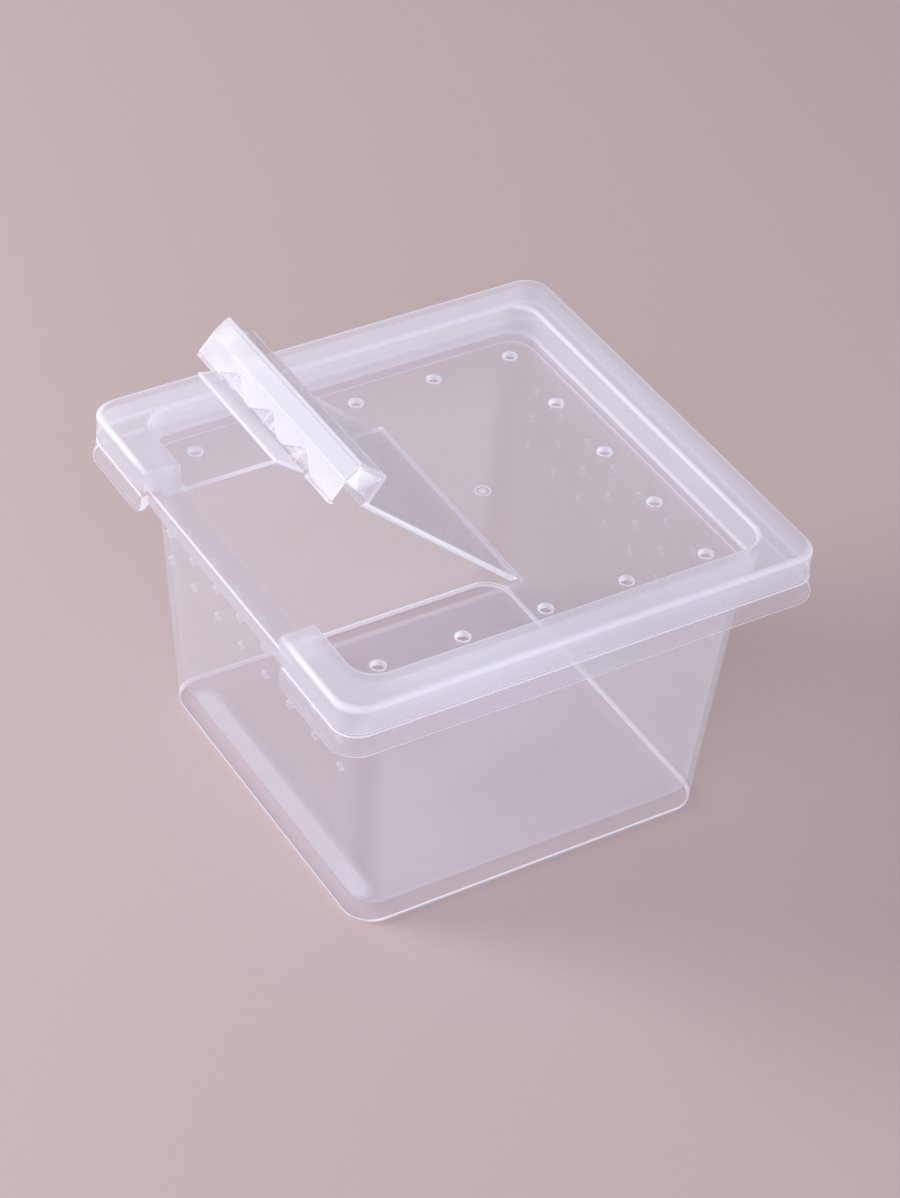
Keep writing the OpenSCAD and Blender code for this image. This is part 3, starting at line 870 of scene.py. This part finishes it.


# Most of a face lets the view straight through. A veil of white haze mixes over it, more on edges,
# on sections and where the face turns away, and a mirror shine over both. Edges and sections also
# glow: a painted emission in the milk's colour.
def makePlastic(name, s):
    material = bpy.data.materials.new(name)
    material.use_nodes = True
    tree = material.node_tree
    tree.nodes.clear()
    wire = Wire(tree, None)

    # soft patches where the plastic flowed, a very shallow wave in the surface, and fine scuffs
    place = wire.node("ShaderNodeTexCoord").wire("Object")
    run = wire.node("ShaderNodeMapping", None, Vector=place, Scale=s["flowStretch"]).wire(0)
    flow, wave, scuff = s["flow"], s["wave"], s["scuff"]
    patches = wire.node("ShaderNodeTexNoise", None, Vector=run, Scale=flow["size"],
                        Detail=flow["detail"], Roughness=flow["roughness"]).wire("Fac")
    waves = wire.node("ShaderNodeTexNoise", None, Vector=place, Scale=wave["size"],
                      Detail=wave["detail"]).wire("Fac")
    scuffs = wire.node("ShaderNodeTexNoise", None, Vector=place, Scale=scuff["size"],
                       Detail=scuff["detail"]).wire("Fac")
    normal = wire.node("ShaderNodeBump", None, Strength=1.0, Distance=s["waveHeight"],
                       Height=waves).wire("Normal")

    edge = wire.node("ShaderNodeAttribute", {"attribute_name": "edgeShare"}).wire("Fac")
    section = wire.node("ShaderNodeAttribute", {"attribute_name": "cutShare"}).wire("Fac")
    fromWithin = wire.node("ShaderNodeNewGeometry").wire("Backfacing")
    section = section * (1 - fromWithin * s["hiddenWithin"])
    turnedAway = wire.node("ShaderNodeLayerWeight", None, Blend=0.5).wire("Facing")
    path = wire.node("ShaderNodeLightPath")
    straight = path.wire("Is Shadow Ray").math("MAXIMUM", path.wire("Is Diffuse Ray"))
    squared = turnedAway * turnedAway
    veil = (patches * (2 * s["veilSpread"]) + (1 - s["veilSpread"])) * s["veil"]
    veil = veil + edge * s["edgeVeil"] + section * s["cutVeil"]
    veil = (veil + squared * turnedAway * s["grazeVeil"]).math("MINIMUM", s["mostVeil"])
    shine = (squared * squared * turnedAway * (1 - s["shine"]) + s["shine"]) * (1 - straight)
    rough = scuffs * s["scuffSpread"] + (s["roughness"] - s["scuffSpread"] / 2)

    clear = wire.node("ShaderNodeBsdfTransparent", None, Color=(*s["lets"], 1))
    # painted glow: the milk's colour is emitted on edges and sections, standing in for light led to
    # them
    paintedGlowShare = (edge + section * s["sectionGlowShare"]).math("MINIMUM", 1.0)
    lit = wire.node("ShaderNodeMix", {"data_type": "RGBA"}, i0=paintedGlowShare, i6=(0, 0, 0, 1),
                    i7=(*s["milk"], 1)).wire(2)
    milk = wire.node("ShaderNodeBsdfPrincipled", None, Base_Color=(*s["milk"], 1),
                     Roughness=s["milkRoughness"], Specular_IOR_Level=0.0, Emission_Color=lit,
                     Emission_Strength=s["paintedEdgeGlow"])
    glow = wire.node("ShaderNodeBsdfTranslucent", None, Color=(*s["milk"], 1))
    mirror = wire.node("ShaderNodeBsdfAnisotropic", None, Roughness=rough, Normal=normal)
    haze = wire.node("ShaderNodeMixShader", None, i0=s["glow"], i1=milk.wire(0), i2=glow.wire(0))
    body = wire.node("ShaderNodeMixShader", None, i0=veil, i1=clear.wire(0), i2=haze.wire(0))
    whole = wire.node("ShaderNodeMixShader", None, i0=shine, i1=body.wire(0), i2=mirror.wire(0))
    wire.node("ShaderNodeOutputMaterial", None, Surface=whole.wire(0))
    return material


tubPlastic = makePlastic("tubPlastic", tubPlasticSet)
lidPlastic = makePlastic("lidPlastic", plasticSet)
for piece, node, body, slot, material in (
    (tub, "tub", "tub", "tub_plastic", tubPlastic),
    (lid, "lid", "lid", "lid_plastic", lidPlastic),
    (hatch, "hatch", "hatch", "lid_plastic", lidPlastic),
):
    piece.data.materials.clear()
    piece.data.materials.append(material)
    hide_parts(node)
    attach(piece, body)
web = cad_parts["living_hinge"]
web.data.materials.clear()
web.data.materials.append(lidPlastic)
print("plastic ready")

# Floor, lamps and world

studioSet = {
    "floor": (0.480, 0.381, 0.384),
    "floorRoughness": 0.7,
    "floorLevel": -0.03,  # just under the keeper's foot
    "floorHalf": 3000,
    "world": (0.90, 0.88, 0.93),
    "worldStrength": 0.54,
    "aim": (0, 0, 0.05),  # metres, as are the lamps' places and sizes
    "lamps": {
        "key": {"place": (-0.60, -0.88, 0.60), "size": 0.6, "power": 13.5, "glossy": False},
        "fill": {"place": (0.75, -0.62, 0.75), "size": 0.8, "power": 4.5, "glossy": False},
        "glint": {"place": (-0.75, -0.72, 0.50), "size": 0.45, "power": 2.2, "glossy": True},
    },
}


def makeStudio(s):
    level, far = s["floorLevel"], s["floorHalf"]
    corners = [[-far, -far, level], [far, -far, level], [far, far, level], [-far, far, level]]
    floor = meshPiece("studioFloor", corners, [[0, 1, 2, 3]])
    material = bpy.data.materials.new("studioFloor")
    material.use_nodes = True
    shade = material.node_tree.nodes["Principled BSDF"]
    shade.inputs["Base Color"].default_value = (*s["floor"], 1)
    shade.inputs["Roughness"].default_value = s["floorRoughness"]
    floor.data.materials.append(material)
    world = bpy.data.worlds.new("studio")
    scene.world = world
    world.use_nodes = True
    sky = world.node_tree.nodes["Background"]
    sky.inputs["Color"].default_value = (*s["world"], 1)
    sky.inputs["Strength"].default_value = s["worldStrength"]
    for name, own in s["lamps"].items():
        data = bpy.data.lights.new(name, "AREA")
        data.shape = "SQUARE"
        data.size = own["size"]
        data.energy = own["power"]
        lamp = bpy.data.objects.new(name, data)
        lamp.location = own["place"]
        aim = Vector(s["aim"]) - lamp.location
        lamp.rotation_euler = aim.to_track_quat("-Z", "Y").to_euler()
        lamp.visible_glossy = own["glossy"]
        scene.collection.objects.link(lamp)


makeStudio(studioSet)
print("studio ready")
